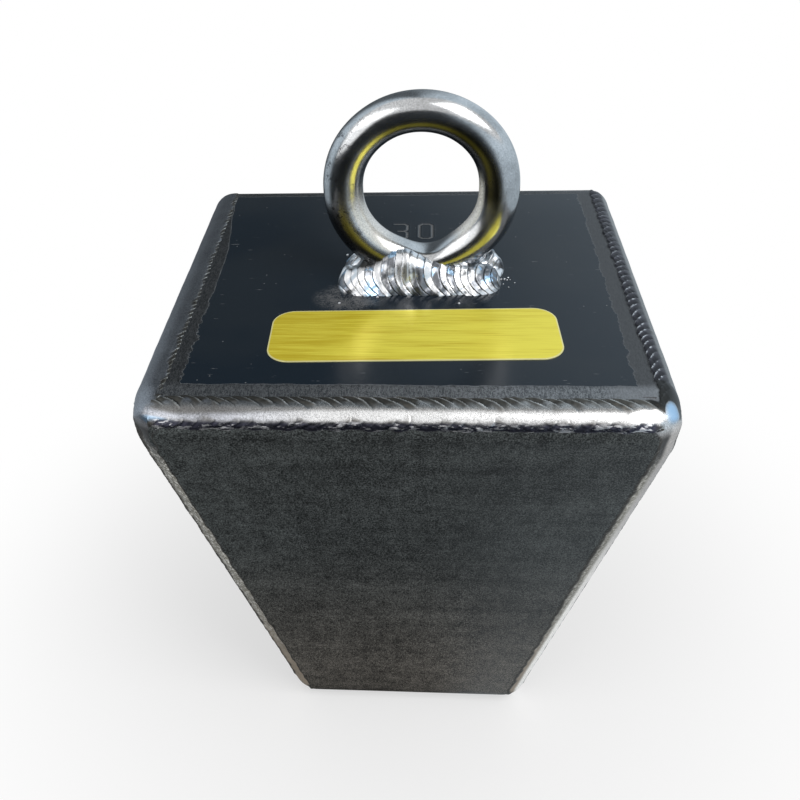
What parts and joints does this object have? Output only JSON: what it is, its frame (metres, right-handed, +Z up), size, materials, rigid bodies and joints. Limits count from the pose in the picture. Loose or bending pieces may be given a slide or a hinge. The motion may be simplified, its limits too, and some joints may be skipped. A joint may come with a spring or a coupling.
{
  "type": "pyramid anchor",
  "caption": "Square steel boat anchor, tapered to the bottom, folded and welded from plate, filled with ballast, with a round-bar lifting ring on top",
  "frame": {"origin": "middle of the bottom face, on the ground", "axes": "+Z up through the lifting ring, -Y to the front with the closing seam and the label, +X to the right"},
  "size_m": [0.1524, 0.1514, 0.2217],
  "materials": {
    "plate": "hot rolled plate with blue-black mill scale",
    "ground_weld": "weld crown ground smooth, ripples left at the toes",
    "bright_weld": "bright rippled weld metal",
    "ring": "bright drawn round bar",
    "ballast": "packed steel scrap, sealed inside",
    "label": "brushed gold foil, bare of lettering"
  },
  "bodies": {
    "root": {"folded_shell": "plate", "left_side_plate": "plate", "right_side_plate": "plate", "top_front_seam_weld": "ground_weld", "left_top_weld": "ground_weld", "left_front_weld": "ground_weld", "left_bottom_weld": "ground_weld", "left_back_weld": "ground_weld", "right_top_weld": "ground_weld", "right_front_weld": "ground_weld", "right_bottom_weld": "ground_weld", "right_back_weld": "ground_weld", "lifting_ring": "ring", "ring_weld_front": "bright_weld", "ring_weld_rear": "bright_weld", "ballast_fill": "ballast", "foil_label": "label"}
  },
  "joints": []
}
